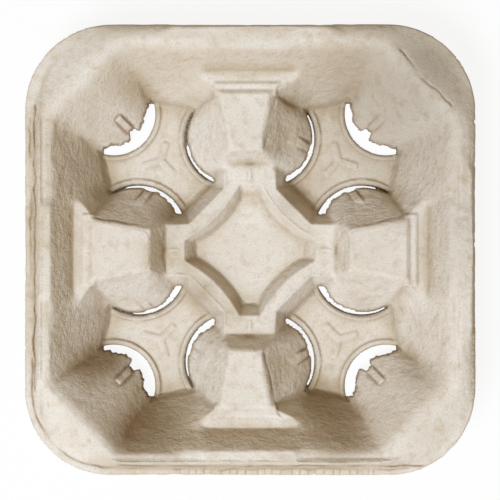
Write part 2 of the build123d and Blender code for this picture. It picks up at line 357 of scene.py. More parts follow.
fibre_share = float((cut(grid_x, grid_y) < 0).mean())
print("fibre left, per cent of the plan", round(100 * fibre_share, 1))

# %% [markdown]
# ## Say how round each place is
#
# Wet fibre cannot follow a sharp corner. The saddles, the floors, the dish and the rim are
# pressed crisply, the rest more softly, and the corners and the upper walls of the wells are the
# softest, except at the lower left. Each region is a mask that runs from 0 to 1.

# %% Masks of softness
out = np.maximum(np.abs(grid_x), np.abs(grid_y))
along_saddle = np.minimum(np.abs(grid_x), np.abs(grid_y))
diagonal = (np.abs(grid_x) + np.abs(grid_y)) / math.sqrt(2)
edge_depth = -outline_cut(grid_x, grid_y)
whole_top, whole_under = filled(upper), filled(lower)
saddle_mask = (
    ramp(along_saddle, 21 * MM, 17 * MM)
    * ramp(out, 42 * MM, 45 * MM)
    * ramp(out, 92 * MM, 89 * MM)
)
floor_mask = ramp(whole_top, 7 * MM, 4 * MM)
centre_mask = ramp(diagonal, 37 * MM, 33 * MM)
rib_mask = np.zeros_like(grid_x)
for slot in slots:
    _, flap_side, ends, from_rib = slot_distances(grid_x, grid_y, slot)
    rib_end = slot["rib_length"]
    along_rib = (
        slot["rib_shown"][well_of(grid_x, grid_y)]
        * ramp(-flap_side, rib_end + 2 * MM, rib_end)
        * ramp(flap_side, 3 * MM, 0)
    )
    rib_mask = np.maximum(rib_mask, along_rib * ramp(from_rib, 5.5 * MM, 3.5 * MM) * (ends > 0))
lower_left = ramp(grid_x + grid_y, 20 * MM, -20 * MM)
lowest_left = ramp(grid_x + grid_y, -70 * MM, -120 * MM)
in_corner = ramp(diagonal, 100 * MM, 106 * MM)
well_mask = ramp(along_saddle, 20 * MM, 26 * MM) * ramp(diagonal, 36 * MM, 40 * MM)
soft_wells = 0.85 * well_mask * (1 - lower_left * ramp(diagonal, 92 * MM, 98 * MM))
corner_mask = np.maximum(in_corner * (1 - 0.6 * lower_left), soft_wells)
wide_mask = 0.9 * well_mask * ramp(whole_top, 12 * MM, 22 * MM) * (1 - 0.6 * lowest_left)
rim_mask = ramp(edge_depth, 9 * MM, 7 * MM) * np.maximum(1 - in_corner, lower_left)
fine_mask = np.maximum.reduce([saddle_mask, floor_mask, centre_mask, rib_mask, 0.8 * rim_mask])
print("share pressed crisply", round(float(fine_mask.mean()), 2))

# %% [markdown]
# ## Soften the folds
#
# A bevel would round each edge, but here hundreds of small faces meet in the folds and a bevel
# would tangle. Blurring the picture of heights rounds every fold at once, and the width of the
# blur is the radius of the fold. Four blurs are mixed by the masks.

# %% Blur the two surfaces
crisp, soft, softest, widest = 0.34 * MM, 0.8 * MM, 2.3 * MM, 3.8 * MM


def softened(whole):
    """Heights with folds as round as each place needs."""
    mixed = blur(whole, soft) * (1 - corner_mask) + blur(whole, softest) * corner_mask
    mixed = mixed * (1 - wide_mask) + blur(whole, widest) * wide_mask
    return mixed * (1 - fine_mask) + blur(whole, crisp) * fine_mask


skin_top = softened(whole_top)
skin_under = softened(whole_under)
print("softened; thickness in mm", round(float(np.median(skin_top - skin_under)) / MM, 2))

# %% [markdown]
# ## Small forms and edges
#
# The low marks on the floors, the lips and the bars would drown in the blur, so what is small
# there is lifted a little again. The floor rolls down at each slot, and the torn edge of a flap
# thins out. The outer edge of the rim is rounded from both sides.

# %% Lift small forms and turn the edges
detail = np.clip(skin_top - blur(skin_top, 1.2 * MM), -0.25 * MM, 0.25 * MM)
small_form = np.maximum.reduce([floor_mask, rib_mask, 0.5 * saddle_mask, 0.5 * centre_mask])
skin_top = skin_top + 1.2 * detail * small_form
for slot in slots:
    floor_side, flap_side, ends, _ = slot_distances(grid_x, grid_y, slot)
    within = ramp(ends, -1.5 * MM, 0.5 * MM)
    floor_edge = ramp(-floor_side, 1.1 * MM, 0) * (flap_side > 0) * within
    flap_edge = ramp(-flap_side, 1.3 * MM, 0) * (floor_side > 0) * within
    skin_top = skin_top - 0.75 * MM * floor_edge**2 - 0.8 * MM * flap_edge**2
    skin_under = skin_under - 0.5 * MM * floor_edge**2
trimmed_edge = ramp(edge_depth, 0.9 * MM, 0)
skin_top = skin_top - 0.4 * MM * trimmed_edge**2
skin_under = skin_under + 0.4 * MM * trimmed_edge**2
print("edges turned; thinnest in mm", round(float((skin_top - skin_under).min()) / MM, 2))

# %% [markdown]
# ## Creases, folds and ticks
#
# The skin dried wavy round the edge of the mould, so creases run along the rim, and a fold runs
# down one side of each saddle. Each follows a line with a little wander, and runs out softly at
# both ends. The ticks are short straight marks across the flange.

# %% Press the creases
rising = (grid_x + grid_y) / math.sqrt(2)
falling = (grid_x - grid_y) / math.sqrt(2)
# Distance from the line, place along it, its two ends, then width, depth and wander, in mm.
creases = [
    (grid_x + 103.2 * MM, grid_y, (-66, 68), 0.33, 1.1, 0.45),
    (grid_x + 105.6 * MM, grid_y, (-20, 62), 0.35, 0.6, 0.3),
    (grid_y + 103.4 * MM, grid_x, (-62, 0), 0.35, 0.8, 0.35),
    (grid_y + 103.4 * MM, grid_x, (5, 88), 0.35, 0.8, 0.35),
    (grid_y + 105.2 * MM, grid_x, (-35, 75), 0.3, 0.4, 0.3),
    (grid_x - 97.6 * MM, grid_y, (-60, 45), 0.5, 0.14, 0.2),
    (grid_x - 99.6 * MM, grid_y, (-55, 40), 0.5, 0.14, 0.2),
    (rising - 117.0 * MM, falling, (-16, 18), 0.45, 0.7, 0.75),
    (edge_depth - 3.4 * MM, rising, (-150, -112), 0.4, 0.6, 0.3),
]


def fold_line(from_x, from_y, to_x, to_y):
    """Distance from a line, the place along it, and its two ends in millimetres."""
    long = math.hypot(to_x - from_x, to_y - from_y)
    part_x, part_y = (to_x - from_x) / long, (to_y - from_y) / long
    off_x, off_y = grid_x - from_x * MM, grid_y - from_y * MM
    return off_x * part_y - off_y * part_x, off_x * part_x + off_y * part_y, (0, long)


saddle_folds = [
    (6.9, 51, 12.6, 75),
    (6.9, -51, 12.6, -76),
    (-51, 11.3, -75, 15.9),
    (49, 10.7, 75, 16.7),
]
creases += [(*fold_line(*ends), 0.4, 0.65, 0.3) for ends in saddle_folds]
pressed = np.zeros_like(grid_x)
for number, (distance, run, (run_from, run_to), width, depth, wander) in enumerate(creases):
    bent = distance + clouds(2.2 * MM, 40 + number) * wander * MM
    window = ramp(run, (run_from - 3) * MM, run_from * MM)
    window = window * ramp(run, (run_to + 3) * MM, run_to * MM)
    ragged = np.clip(0.8 + 0.45 * clouds(3 * MM, 60 + number), 0.15, 1.2)
    crease = depth * MM * window * ragged * np.exp(-((bent / (width * MM)) ** 2))
    pressed = np.maximum(pressed, crease)
tick_maker = np.random.default_rng(5)
tick_width = 0.3
lower_places = np.arange(-34, 64, 4.1) + tick_maker.uniform(-0.9, 0.9, 24)
right_places = np.arange(-72, -28, 2.7) + tick_maker.uniform(-0.5, 0.5, 17)
lower_strip = ramp(grid_y, -104.9 * MM, -105.7 * MM)
right_strip = ramp(grid_x, 105.6 * MM, 106.4 * MM)
ticks = [(grid_x, lower_strip, lower_places, 0.4), (grid_y, right_strip, right_places, 0.35)]
for run, strip, tick_places, depth in ticks:
    for middle in tick_places:
        tick = depth * MM * strip * np.exp(-(((run / MM - middle) / tick_width) ** 2))
        pressed = np.maximum(pressed, tick)
skin_top = skin_top - pressed
print("creases", len(creases), "deepest in mm", round(float(pressed.max()) / MM, 2))

# %% [markdown]
# ## Unevenness of the pulp
#
# The whole sheet has dried a little wavy. The steep walls are rougher than the flats, because the
# mould is drawn off along them: their wrinkles lie level, across the slope. So two stretched
# clouds are made, one for each direction, and each wall takes the one that lies across it.

# %% Add waves and wrinkles
slope_up, slope_across = np.gradient(blur(skin_top, 1.5 * MM), step)
steepness = np.hypot(slope_up, slope_across)
wall_share = ramp(steepness, 0.35, 1.0)
facing_x = slope_across**2 / np.maximum(steepness**2, 1e-6)
upright_wrinkles = clouds(1.0 * MM, 24, 2.2 * MM)
flat_wrinkles = clouds(2.2 * MM, 25, 1.0 * MM)
level_wrinkles = upright_wrinkles * facing_x + flat_wrinkles * (1 - facing_x)
wave = clouds(14 * MM, 21) * 0.16 * MM + clouds(4 * MM, 22) * 0.05 * MM
wrinkle_height = 0.12 * MM
thinnest = 0.5 * MM
top_heights = skin_top + wave + wrinkle_height * level_wrinkles * wall_share
top_heights = np.minimum(top_heights, top_level)
under_heights = np.maximum(skin_under + wave, 0)
top_heights = np.maximum(top_heights, under_heights + thinnest)
print("share of walls in the plan", round(float(wall_share.mean()), 2))

# %% [markdown]
# ## Lay a sheet over the heights
#
# The skin starts as one flat grid. Its points close to a cut are slid on to the edge, and the
# faces that lie in a hole are deleted.

# %% Make the sheet and trim it
cells = 432
sheet = bmesh.new()
bmesh.ops.create_grid(sheet, x_segments=cells, y_segments=cells, size=half_side)
cell = 2 * half_side / cells
nudge = 0.05 * MM
slide_reach = 0.6 * cell
for _ in range(2):
    x = np.array([vert.co.x for vert in sheet.verts])
    y = np.array([vert.co.y for vert in sheet.verts])
    depth = cut(x, y)
    slope_x = (cut(x + nudge, y) - cut(x - nudge, y)) / (2 * nudge)
    slope_y = (cut(x, y + nudge) - cut(x, y - nudge)) / (2 * nudge)
    steep = np.maximum(slope_x**2 + slope_y**2, 0.2)
    near = np.abs(depth) < slide_reach
    x -= np.where(near, depth * slope_x / steep, 0)
    y -= np.where(near, depth * slope_y / steep, 0)
    for vert, new_x, new_y in zip(sheet.verts, x, y):
        vert.co.x, vert.co.y = new_x, new_y
middles = np.array([face.calc_center_median()[:2] for face in sheet.faces])
gone = cut(middles[:, 0], middles[:, 1]) > 0
holes = [face for face, is_gone in zip(sheet.faces, gone) if is_gone]
bmesh.ops.delete(sheet, geom=holes, context="FACES")
print("faces in the trimmed sheet", len(sheet.faces))

# %% [markdown]
# ## Give the sheet its two sides
#
# The trimmed sheet is extruded. The faces that stay behind become the underside, the new ones
# become the top, and the walls between them are the cut and torn edges. Then each side is lifted
# to its own picture of heights. The lower edges of the side slots are slid along, so that their
# cuts lean.

# %% Extrude the sheet and set its heights
grown = bmesh.ops.extrude_face_region(sheet, geom=list(sheet.faces), use_keep_orig=True)
top_verts = [item for item in grown["geom"] if isinstance(item, bmesh.types.BMVert)]
for vert in sheet.verts:
    vert.tag = False
for vert in top_verts:
    vert.tag = True


def set_heights(verts, picture):
    """Lift points to the heights of a picture."""
    x = np.array([vert.co.x for vert in verts])
    y = np.array([vert.co.y for vert in verts])
    for vert, height in zip(verts, picked(picture, x, y)):
        vert.co.z = height


def slant(verts):
    """Lean the cuts of the side slots, so that narrow ones let no light through."""
    x = np.array([vert.co.x for vert in verts])
    y = np.array([vert.co.y for vert in verts])
    moved_x, moved_y = x.copy(), y.copy()
    for slot in slots[1:]:
        floor_side, flap_side, ends, _ = slot_distances(x, y, slot)
        gap = np.clip(floor_side + flap_side, 0, 1.4 * MM)
        near = ramp(np.maximum(-floor_side, -flap_side), 3.6 * MM, 0.4 * MM)
        near = near * ramp(ends, -1 * MM, 0.6 * MM)
        closed = (gap + 0.4 * MM) * ramp(gap, 1.3 * MM, 1.0 * MM)
        lip = 0.45 * MM * ramp(-floor_side, 2 * MM, 0.2 * MM) * (flap_side > 0.1 * MM)
        amount = near * np.maximum(closed, lip)
        rise_x = slot_distances(x + nudge, y, slot)[0] - slot_distances(x - nudge, y, slot)[0]
        rise_y = slot_distances(x, y + nudge, slot)[0] - slot_distances(x, y - nudge, slot)[0]
        moved_x += amount * rise_x / (2 * nudge)
        moved_y += amount * rise_y / (2 * nudge)
    for vert, new_x, new_y in zip(verts, moved_x, moved_y):
        vert.co.x, vert.co.y = new_x, new_y
    print("furthest slant in mm", round(float(np.hypot(moved_x - x, moved_y - y).max()) / MM, 2))


under_verts = [vert for vert in sheet.verts if not vert.tag]
set_heights(under_verts, under_heights)
set_heights(top_verts, top_heights)
slant(under_verts)
bmesh.ops.recalc_face_normals(sheet, faces=sheet.faces)
for face in sheet.faces:
    face.smooth = True
mesh = bpy.data.meshes.new("fibre_skin")
sheet.to_mesh(mesh)
sheet.free()
draft = bpy.data.objects.new("draft_skin", mesh)
bpy.context.collection.objects.link(draft)
print("faces in the skin", len(mesh.polygons))

# %% [markdown]
# ## Thin out the mesh
#
# A fine grid spends as many points on a flat floor as on a fold. Decimate removes those that
# change the shape least. It is applied by taking the finished mesh from the evaluated object. Then
# the cut edges are marked sharp, so that the flat sides do not shade into them.

# %% Decimate
triangle_limit = 190_000
sharp_angle = math.radians(55)
thinning = draft.modifiers.new("thin_out", "DECIMATE")
thinning.ratio = triangle_limit / (2 * len(mesh.polygons))
finished = draft.evaluated_get(bpy.context.evaluated_depsgraph_get())
skin_mesh = bpy.data.meshes.new_from_object(finished)
skin_mesh.name = "carrier_skin"
skin_mesh.set_sharp_from_angle(angle=sharp_angle)
carrier = bpy.data.objects.new("carrier_skin", skin_mesh)
bpy.context.collection.objects.link(carrier)
bpy.data.objects.remove(draft)
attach(carrier, "root")
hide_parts("moulded_tray")
print("triangles", sum(len(face.vertices) - 2 for face in skin_mesh.polygons))

# %% [markdown]
# ## Tell the material where it is
#
# Some looks depend on place: torn fibres are browner, creases hold dust and painted shade, narrow
# cuts hold painted shadow, some places get painted shade, walls are rougher, and the underside
# shows the wire screen. Each becomes a number on every point of the finished mesh, which the
# material can read. These helpers store such numbers and make soft round blots.

# %% Helpers for masks
spots = np.empty(3 * len(skin_mesh.vertices))
skin_mesh.vertices.foreach_get("co", spots)
spot_x, spot_y, spot_z = spots.reshape(-1, 3).T


def paint(name, values):
    """Store one number per point."""
    layer = skin_mesh.attributes.new(name, "FLOAT", "POINT")
    layer.data.foreach_set("value", np.asarray(values, dtype=np.float32))
    print("mask", name, "mean", round(float(np.mean(values)), 3))


def blots(blot_places):
    """Soft round blots, each given as a place, a reach and a strength."""
    total = np.zeros_like(spot_x)
    for blot_x, blot_y, reach, strength in blot_places:
        away = np.hypot(spot_x - blot_x * MM, spot_y - blot_y * MM) / (reach * MM)
        total = total + strength * np.exp(-away * away)
    return np.clip(total, 0, 1)


print("points to paint", len(spot_x))

# %% [markdown]
# ## Edges of the slots
#
# Four things are painted at a slot: the brown torn fringe; painted shadow inside a narrow or
# leaning cut, at its ends and along the torn edge of the flap; the dark line that runs round the
# floor beside it; and the two sides of the small rib. The last two are partly brown fibre in a fold
# and partly painted shade.

# %% Masks of the cut edges
below = spot_z < picked((top_heights + under_heights) / 2, spot_x, spot_y)
spot_well = well_of(spot_x, spot_y)
torn = ramp(-outline_cut(spot_x, spot_y), 0.8 * MM, 0.1 * MM) * 0.6
cut_shadow = np.zeros_like(spot_x)
lip_line = np.zeros_like(spot_x)
rib_line = np.zeros_like(spot_x)
for slot in slots:
    floor_side, flap_side, ends, from_rib = slot_distances(spot_x, spot_y, slot)
    within = ramp(ends, -1.2 * MM, 0.6 * MM)
    flap_fringe = ramp(-flap_side, 1.5 * MM, 0.1 * MM) * (floor_side > 0)
    floor_fringe = ramp(-floor_side, 0.7 * MM, 0) * (flap_side > 0)
    torn = np.maximum(torn, within * np.maximum(flap_fringe, floor_fringe))
    narrow = ramp(floor_side + flap_side, 2.4 * MM, 1.3 * MM)
    floor_lip = ramp(-floor_side, 0.7 * MM, 0.2 * MM)
    flap_lip = 0.6 * ramp(-flap_side, 0.5 * MM, 0.1 * MM) * (floor_side > 0)
    inside = narrow * np.maximum(floor_lip, flap_lip) * (flap_side > -1 * MM)
    # Painted shadow inside narrow and leaning cuts, at the slot ends and along the torn flap edge.
    edge_shade = slot["shade"][spot_well] * ramp(-flap_side, 1.1 * MM, 0.3 * MM) * (floor_side > 0)
    dark_edge = within * np.maximum(inside, edge_shade)
    at_end = ramp(np.abs(ends), 0.9 * MM, 0.3 * MM) * ramp(floor_side, -1 * MM, -0.3 * MM)
    dark_edge = np.maximum(dark_edge, 0.8 * at_end * ramp(flap_side, -1 * MM, -0.3 * MM))
    if slot is not corner_slot:
        leaning = below * (floor_side > -0.3 * MM) * (flap_side > -0.8 * MM)
        leaning = leaning * ramp(ends, -1 * MM, 0.2 * MM)
        dark_edge = np.maximum(dark_edge * np.where(below, 1, 0.45), leaning)
    cut_shadow = np.maximum(cut_shadow, dark_edge)
    # Dark line round the floor beside the slot: partly brown in the fold, partly painted shade.
    from_lip = (floor_side + 2.8 * MM) / (0.4 * MM)
    lip_line = np.maximum(lip_line, ramp(ends, -0.5 * MM, 1 * MM) * np.exp(-from_lip * from_lip))
    # Dark lines along both sides of the rib: partly brown in the fold, partly painted shade.
    rib_end = slot["rib_length"]
    from_rib_side = (from_rib - 2.0 * MM) / (0.5 * MM)
    along = ramp(-flap_side, rib_end, rib_end - 3 * MM) * (flap_side < 0.3 * MM)
    along = along * slot["rib_shown"][spot_well]
    rib_line = np.maximum(rib_line, along * (ends > 0) * np.exp(-from_rib_side * from_rib_side))
print("torn points", int((torn > 0.5).sum()), "dark points", int((cut_shadow > 0.5).sum()))

# %% [markdown]
# ## Stains and painted shade
#
# The pulp is browner in some places. Painted shade darkens others: grey at the far upper right
# corner and in deep places by the slots, brown on the deep lower walls and some flaps, and in a few
# small hollows at the flaps. All are soft round blots, each with its place and reach in
# millimetres and its strength. A few folds get less painted shade in the same way, and the dark
# line beside the lips, partly painted shade, is made stronger in one well.

# %% Places of the blots
# Browner pulp in a few places, and painted shade on the deep lower walls and on some flaps.
stain_and_shade_places = [
    (52, 54, 22, 0.35), (44, 84, 18, 0.5), (94, 94, 16, 0.5), (-50, -80, 16, 0.9),
    (38, -80, 15, 0.9), (-68, -54, 8, 0.6), (-59, -88, 8, 0.5), (54, -54, 16, 0.2),
    (54, -27, 9, 0.4), (-78, -57, 9, 0.9), (-54, -66, 7, 0.5), (-70, 42, 10, 0.5),
    (34, 34, 9, 0.5), (32, -72, 8, 0.6), (20, 56, 10, 0.95), (20, -57, 10, 1.0),
    (-104, 55, 20, 0.5), (-104, 12, 22, 0.45), (-104, -35, 20, 0.4), (-30, -7, 6, 1.0),
    (-22, -20, 7, 1.0), (-8, -29, 6, 1.0), (-44, -3, 9, 0.8), (20, 25, 7, 0.6),
    (20, 70, 6, 0.8), (-58, 78, 9, 0.6), (-72, 28, 8, 0.6), (-38, 18, 8, 0.6),
    (80, -60, 8, 0.4),
]
# Grey painted shade: the far upper right corner, as if the lamp lit it less, and deep places near
# the slots and in the lower wells.
grey_shade_places = [
    (74, 74, 33, 1.0), (94, 96, 16, 0.3), (103, 12, 30, 0.4), (-45, -88, 11, 0.4),
    (45, -88, 11, 0.4), (-78, -57, 8, 0.5), (-54, -67, 6, 0.4), (35, -74, 9, 0.65),
    (80, -60, 8, 0.4), (20, 70, 6, 0.4), (20, 25, 7, 0.4), (-72, 28, 8, 0.3),
    (-38, 18, 8, 0.35), (-22, -20, 9, 0.3), (20, 54, 9, 0.2), (-68, -54, 8, 0.9),
    (-59, -88, 9, 0.8), (20, -54, 9, 0.2), (54, -27, 8, 0.15), (-84, -84, 12, 0.15),
]
# Painted shade in small hollows at the flaps and near the ends of slots.
shade_blots = [
    (-79, -56, 6, 0.5), (-67, -53, 6, 0.7), (-58, -88, 8, 0.4), (33, -73, 7, 0.5),
    (17, -38, 6, 0.6), (-45, -84, 12, 0.55), (45, -84, 12, 0.55), (-38, 19, 6, 0.6),
    (19, 71, 4.5, 0.5), (-50, 68, 6, 0.4), (-82, 38, 7, 0.25), (72, 14, 5, 0.35),
]
# Folds that get less painted shade.
folds_with_less_shade = [(58, 80, 16, 1.0), (80, 56, 14, 0.8), (42, 0, 12, 1.0), (54, 19, 9, 1.0)]
# Where the dark line beside the lips, partly painted shade, is stronger.
strong_lips = [(-55, -55, 16, 1.0)]
print("stain_and_shade_places", len(stain_and_shade_places), "soiled places", len(grey_shade_places), "dusky places", len(shade_blots))

# %% [markdown]
# ## Lines, folds and walls with painted shade
#
# A hollow is where the softened picture lies above the skin itself. A narrow blur finds the fine
# lines, and a wide one the deep folds. Both are darkened with painted shade, and the fine lines
# also with brown dust in the creases. The outer walls get a tan that is partly real and partly
# painted shade, more than the inner ones, but less so at the far right and the far left.

# %% Paint the masks
# Painted shade in the hollows: the fine lines from a narrow blur, the deep folds from a wide one.
hollow = blur(skin_top, 0.7 * MM) - skin_top
gathered = blur(skin_top, 5 * MM) - blur(skin_top, 1 * MM)
tick_mask = (
    ramp(along_saddle, 3 * MM, 2 * MM)
    * ramp(out, 30 * MM, 32 * MM)
    * ramp(out, 44 * MM, 42 * MM)
)
small_lines = 0.3 - 0.07 * floor_mask + 0.7 * np.maximum(rib_mask, tick_mask)
line = ramp(hollow, 0.03 * MM, 0.2 * MM) * small_lines + 1.8 * pressed / MM
lip_line = lip_line * (0.6 + 0.7 * blots(strong_lips))
lines = picked(line, spot_x, spot_y) + lip_line + 1.1 * rib_line + 1.1 * blots(shade_blots)
# Painted shade in the deep folds, where little light reaches.
fold_shade_share = ramp(picked(gathered, spot_x, spot_y), 0.3 * MM, 2.4 * MM)
# Painted shade on the walls together with their real tan: stronger on the outer walls, weaker at
# the far right and the far left.
off_left = 0.5 * ramp(-grid_x, 70 * MM, 84 * MM) * (1 + 0.7 * ramp(-grid_y, -5 * MM, 35 * MM))
tan_and_shade = wall_share * (0.2 + 0.8 * ramp(out, 66 * MM, 84 * MM))
tan_and_shade = tan_and_shade * (1 - 0.65 * ramp(grid_x, 50 * MM, 80 * MM)) * (1 - off_left)
# Grey painted shade from the blots above.
paint("grey_shade", blots(grey_shade_places))
# Browner pulp, and painted shade on the deep lower walls, some flaps and the floors of the wells.
paint("stain_and_shade", np.clip(blots(stain_and_shade_places) + 0.32 * picked(floor_mask, spot_x, spot_y), 0, 1.2))
paint("torn", torn)
paint("cut_shadow", cut_shadow)
# Crease mask: brown fibre in the creases together with painted shade in hollows, beside the lips
# and ribs and in small shaded places.
paint("crease", np.clip(lines, 0, 1.3) * ~below)
paint("fold_shade", 0.7 * (1 - 0.85 * blots(folds_with_less_shade)) * fold_shade_share)
paint("wall", picked(wall_share, spot_x, spot_y))
paint("tan_and_shade", picked(tan_and_shade, spot_x, spot_y))
paint("facing_x", picked(facing_x, spot_x, spot_y))
paint("below", below)

# %% [markdown]
# ## Small tools for shaders
#
# Shared effects are kept as node groups with named inputs and outputs. These helpers make an
# empty group, a noise texture whose scale is in cycles per metre, a stretch of a value's range, a
# mix of two colours, one step of arithmetic and a stretched place.

# %% Helpers for node trees
def new_group(name, inputs, outputs):
    """An empty shader group with named sockets and its two end nodes."""
    group = bpy.data.node_groups.new(name, "ShaderNodeTree")
    for label, kind, value in inputs:
        socket = group.interface.new_socket(label, in_out="INPUT", socket_type=kind)
        if value is not None:
            socket.default_value = value
    for label, kind in outputs:
        group.interface.new_socket(label, in_out="OUTPUT", socket_type=kind)
    return group, group.nodes.new("NodeGroupInput"), group.nodes.new("NodeGroupOutput")


def noise_node(tree, vector, scale, detail, rough=0.5):
    """Noise with its own scale in cycles per metre."""
    node = tree.nodes.new("ShaderNodeTexNoise")
    node.inputs["Scale"].default_value = scale
    node.inputs["Detail"].default_value = detail
    node.inputs["Roughness"].default_value = rough
    tree.links.new(vector, node.inputs["Vector"])
    return node.outputs["Fac"]


def remap(tree, value, low, high, to_low=0.0, to_high=1.0):
    """Stretch part of a value's range."""
    node = tree.nodes.new("ShaderNodeMapRange")
    limits = {"From Min": low, "From Max": high, "To Min": to_low, "To Max": to_high}
    for label, number in limits.items():
        node.inputs[label].default_value = number
    tree.links.new(value, node.inputs["Value"])
    return node.outputs["Result"]


def mix_colours(tree, factor, first, second, kind="MIX"):
    """Mix two colours."""
    node = tree.nodes.new("ShaderNodeMix")
    node.data_type = "RGBA"
    node.blend_type = kind
    tree.links.new(factor, node.inputs["Factor"])
    tree.links.new(first, node.inputs[6])
    tree.links.new(second, node.inputs[7])
    return node.outputs[2]


def arithmetic(tree, operation, first, second):
    """One step of arithmetic. Each value may be a socket or a number."""
    node = tree.nodes.new("ShaderNodeMath")
    node.operation = operation
    for socket, value in zip(node.inputs, (first, second)):
        if isinstance(value, (int, float)):
            socket.default_value = value
        else:
            tree.links.new(value, socket)
    return node.outputs[0]


def stretched(tree, vector, scale):
    """The place stretched by a scale for each axis."""
    node = tree.nodes.new("ShaderNodeMapping")
    node.inputs["Scale"].default_value = scale
    tree.links.new(vector, node.inputs["Vector"])
    return node.outputs["Vector"]


print("helpers ready")

# %% [markdown]
# ## Mottled pulp and painted shade
#
# Moulded fibre is matt and pale oatmeal. It has cloudy patches where the pulp was thicker, short
# fibres lying in all directions, and small darker flecks of old print and bark. Painted shade is
# mixed in here as well: on the walls with their tan, in the folds, on the stained places, and as
# grey in the far corner.

# %% Node group: mottled colour and painted shade
mottle, mottle_in, mottle_out = new_group(
    "fibre_mottle_and_shade",
    [
        ("Vector", "NodeSocketVector", None),
        ("Pulp", "NodeSocketColor", (0.73, 0.668, 0.598, 1)),
        ("Pale", "NodeSocketColor", (0.79, 0.742, 0.695, 1)),
        ("Tan", "NodeSocketColor", (0.56, 0.44, 0.31, 1)),
        ("Stain_and_shade_colour", "NodeSocketColor", (0.80, 0.745, 0.64, 1)),
        ("Tan_and_shade", "NodeSocketFloat", 0.0),
        ("Fold_shade", "NodeSocketFloat", 0.0),
        ("Stain_and_shade", "NodeSocketFloat", 0.0),
        ("Grey_shade_colour", "NodeSocketColor", (0.69, 0.67, 0.64, 1)),
        ("Grey_shade", "NodeSocketFloat", 0.0),
    ],
    [("Color", "NodeSocketColor")],
)
place = mottle_in.outputs["Vector"]
cloud = remap(mottle, noise_node(mottle, place, 45, 4, 0.6), 0.36, 0.66)
grain = remap(mottle, noise_node(mottle, place, 1300, 2), 0.5, 0.85, 0.0, 0.75)
patch = remap(mottle, noise_node(mottle, place, 190, 3, 0.6), 0.5, 0.78, 0.0, 0.65)
fleck = remap(mottle, noise_node(mottle, place, 420, 1), 0.76, 0.82, 0.0, 0.7)
colour = mix_colours(mottle, cloud, mottle_in.outputs["Pulp"], mottle_in.outputs["Pale"])
# Tan of the walls: partly their real colour, partly painted shade.
tan_and_shade = arithmetic(mottle, "MULTIPLY", mottle_in.outputs["Tan_and_shade"], 0.4)
for mask in (tan_and_shade, grain, patch, fleck):
    colour = mix_colours(mottle, mask, colour, mottle_in.outputs["Tan"])
# Multiplied in: painted shade in the folds, stains with painted shade, and grey painted shade.
for mask, tint in (("Fold_shade", "Stain_and_shade_colour"), ("Stain_and_shade", "Stain_and_shade_colour"), ("Grey_shade", "Grey_shade_colour")):
    share, shade = mottle_in.outputs[mask], mottle_in.outputs[tint]
    colour = mix_colours(mottle, share, colour, shade, "MULTIPLY")
mottle.links.new(colour, mottle_out.inputs["Color"])
print("node group", mottle.name)

# %% [markdown]
# ## Browned edges and painted shade
#
# Where the skin is torn or creased, long fibres stand up and the surface turns brown. The crease
# mask also carries painted shade in hollows, beside the lips and ribs and in a few small places at
# the flaps, in the same brown. The mask of the cuts paints near-black shadow inside narrow and
# leaning cuts, at the slot ends and along torn flap edges. The mask is broken up by noise, so that
# the fringe looks frayed and not drawn with a pen.

# %% Node group: browned edges and painted shade
browned, browned_in, browned_out = new_group(
    "brown_edges_and_painted_shade",
    [
        ("Vector", "NodeSocketVector", None),
        ("Color", "NodeSocketColor", (0.7, 0.7, 0.7, 1)),
        ("Fibre_and_shade_brown", "NodeSocketColor", (0.30, 0.19, 0.10, 1)),
        ("Shadow", "NodeSocketColor", (0.05, 0.035, 0.025, 1)),
        ("Torn", "NodeSocketFloat", 0.0),
        ("Crease", "NodeSocketFloat", 0.0),
        ("Cut_shadow", "NodeSocketFloat", 0.0),
    ],
    [("Color", "NodeSocketColor")],
)
ragged = noise_node(browned, browned_in.outputs["Vector"], 900, 2)
broken = remap(browned, ragged, 0.3, 0.62, 0.35, 1.0)
fringe = arithmetic(browned, "MULTIPLY", browned_in.outputs["Torn"], broken)
fringe = arithmetic(browned, "MULTIPLY", fringe, 0.75)
# Painted shade and brown fibre in the creases.
shade = arithmetic(browned, "MULTIPLY", browned_in.outputs["Crease"], 0.65)
either = arithmetic(browned, "MAXIMUM", fringe, shade)
colour = mix_colours(browned, either, browned_in.outputs["Color"], browned_in.outputs["Fibre_and_shade_brown"])
# Painted shadow, near black, in the cuts.
dark = arithmetic(browned, "MULTIPLY", browned_in.outputs["Cut_shadow"], broken)
dark = arithmetic(browned, "MULTIPLY", dark, 0.9)
colour = mix_colours(browned, dark, colour, browned_in.outputs["Shadow"])
browned.links.new(colour, browned_out.inputs["Color"])
print("node group", browned.name)

# %% [markdown]
# ## Felt, wrinkles and screen
#
# The relief has three parts. The felt is a fine and a coarse noise together. The wrinkles of the
# walls are a noise stretched across the slope. The underside carries the square weave of the wire
# screen that the fibre was drawn on to, about one wire in each millimetre.

# %% Node group: fibre relief
relief, relief_in, relief_out = new_group(
    "fibre_relief",
    [
        ("Vector", "NodeSocketVector", None),
        ("Wall", "NodeSocketFloat", 0.0),
        ("Facing X", "NodeSocketFloat", 0.5),
        ("Below", "NodeSocketFloat", 0.0),
    ],
    [("Height", "NodeSocketFloat")],
)
place = relief_in.outputs["Vector"]
fine = noise_node(relief, place, 1500, 3, 0.6)
coarse = noise_node(relief, place, 330, 3, 0.6)
fine_part = arithmetic(relief, "MULTIPLY", fine, 0.35)
coarse_part = arithmetic(relief, "MULTIPLY", coarse, 0.65)
felt = arithmetic(relief, "ADD", fine_part, coarse_part)
wrinkle_x = noise_node(relief, stretched(relief, place, (1.0, 0.75, 0.85)), 340, 3, 0.6)
wrinkle_y = noise_node(relief, stretched(relief, place, (0.75, 1.0, 0.85)), 340, 3, 0.6)
choose = relief.nodes.new("ShaderNodeMix")
relief.links.new(relief_in.outputs["Facing X"], choose.inputs["Factor"])
